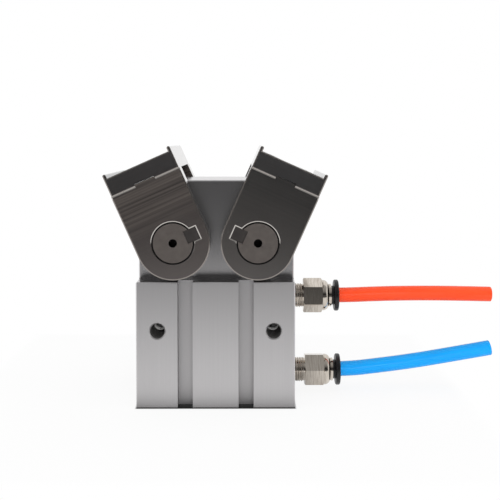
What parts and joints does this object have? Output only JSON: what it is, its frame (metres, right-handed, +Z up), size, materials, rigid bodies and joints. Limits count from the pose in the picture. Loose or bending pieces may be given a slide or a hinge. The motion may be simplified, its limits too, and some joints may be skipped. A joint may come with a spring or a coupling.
{
  "type": "pneumatic angular gripper",
  "caption": "Pneumatic angular gripper: a piston drives a double rack that swings two keyed fingers open and shut, with push-in air fittings and cut tube ends.",
  "frame": {"origin": "centre of the body's bottom face, in the middle of the four base bolts", "axes": "+X towards the air fittings, +Y away from the front face, +Z up towards the fingers"},
  "size_m": [0.1536, 0.05, 0.0992],
  "materials": {
    "anodised_aluminium": "satin, hard anodised grey",
    "turned_aluminium": "turned",
    "dark_steel": "ground and blackened",
    "shaft_steel": "ground, dark",
    "bush_bronze": "sintered bronze",
    "nickel_brass": "nickel plated, machined",
    "release_plastic": "moulded, satin",
    "orange_tube": "extruded, glossy",
    "blue_tube": "extruded, glossy",
    "seal_rubber": "nitrile, matt",
    "spring_steel": "spring steel, oiled",
    "magnet": "bonded magnet",
    "guide_plastic": "acetal",
    "screw_steel": "black oxide"
  },
  "bodies": {
    "housing": {"body": "anodised_aluminium", "end_cap": "turned_aluminium", "end_cap_seal": "seal_rubber", "retaining_ring": "spring_steel", "rod_cover": "turned_aluminium", "rod_cover_seal": "seal_rubber", "rod_seal": "seal_rubber", "orange_tube": "orange_tube", "blue_tube": "blue_tube", "left_front_bush": "bush_bronze", "left_rear_bush": "bush_bronze", "right_front_bush": "bush_bronze", "right_rear_bush": "bush_bronze", "upper_fitting_body": "nickel_brass", "upper_tube_seal": "seal_rubber", "upper_grip_collet": "spring_steel", "lower_fitting_body": "nickel_brass", "lower_tube_seal": "seal_rubber", "lower_grip_collet": "spring_steel"},
    "rack": {"double_rack": "shaft_steel", "piston_rod": "shaft_steel", "piston": "turned_aluminium", "piston_seal": "seal_rubber", "magnet_ring": "magnet", "wear_ring": "guide_plastic", "piston_screw": "screw_steel", "joint_pin": "shaft_steel"},
    "left_finger": {"left_front_arm": "dark_steel", "left_front_key": "shaft_steel", "left_rear_arm": "dark_steel", "left_rear_key": "shaft_steel", "left_pinion_shaft": "shaft_steel", "left_finger_cap": "dark_steel", "left_cap_screws": "screw_steel"},
    "right_finger": {"right_front_arm": "dark_steel", "right_front_key": "shaft_steel", "right_rear_arm": "dark_steel", "right_rear_key": "shaft_steel", "right_pinion_shaft": "shaft_steel", "right_finger_cap": "dark_steel", "right_cap_screws": "screw_steel"},
    "upper_release": {"upper_release_ring": "release_plastic"},
    "lower_release": {"lower_release_ring": "release_plastic"}
  },
  "joints": [
    {"name": "left_finger_swing", "type": "hinge", "parent": "housing", "child": "left_finger", "pos_m": [-0.016, 0, 0.0627], "axis": [0, -1, 0], "range_deg": [-26.5, 66]},
    {"name": "right_finger_swing", "type": "hinge", "parent": "housing", "child": "right_finger", "pos_m": [0.016, 0, 0.0627], "axis": [0, 1, 0], "range_deg": [-26.5, 66]},
    {"name": "rack_slide", "type": "slide", "parent": "housing", "child": "rack", "axis": [0, 0, 1], "range_m": [-0.0042, 0.0104]},
    {"name": "upper_release_push", "type": "slide", "parent": "housing", "child": "upper_release", "axis": [-1, 0, 0], "range_m": [0, 0.001], "stiffness_N_per_m": 200},
    {"name": "lower_release_push", "type": "slide", "parent": "housing", "child": "lower_release", "axis": [-1, 0, 0], "range_m": [0, 0.001], "stiffness_N_per_m": 200}
  ],
  "couplings": [
    {"joint": "right_finger_swing", "follows": "left_finger_swing", "ratio": 1},
    {"joint": "rack_slide", "follows": "left_finger_swing", "m_per_rad": 0.009}
  ]
}
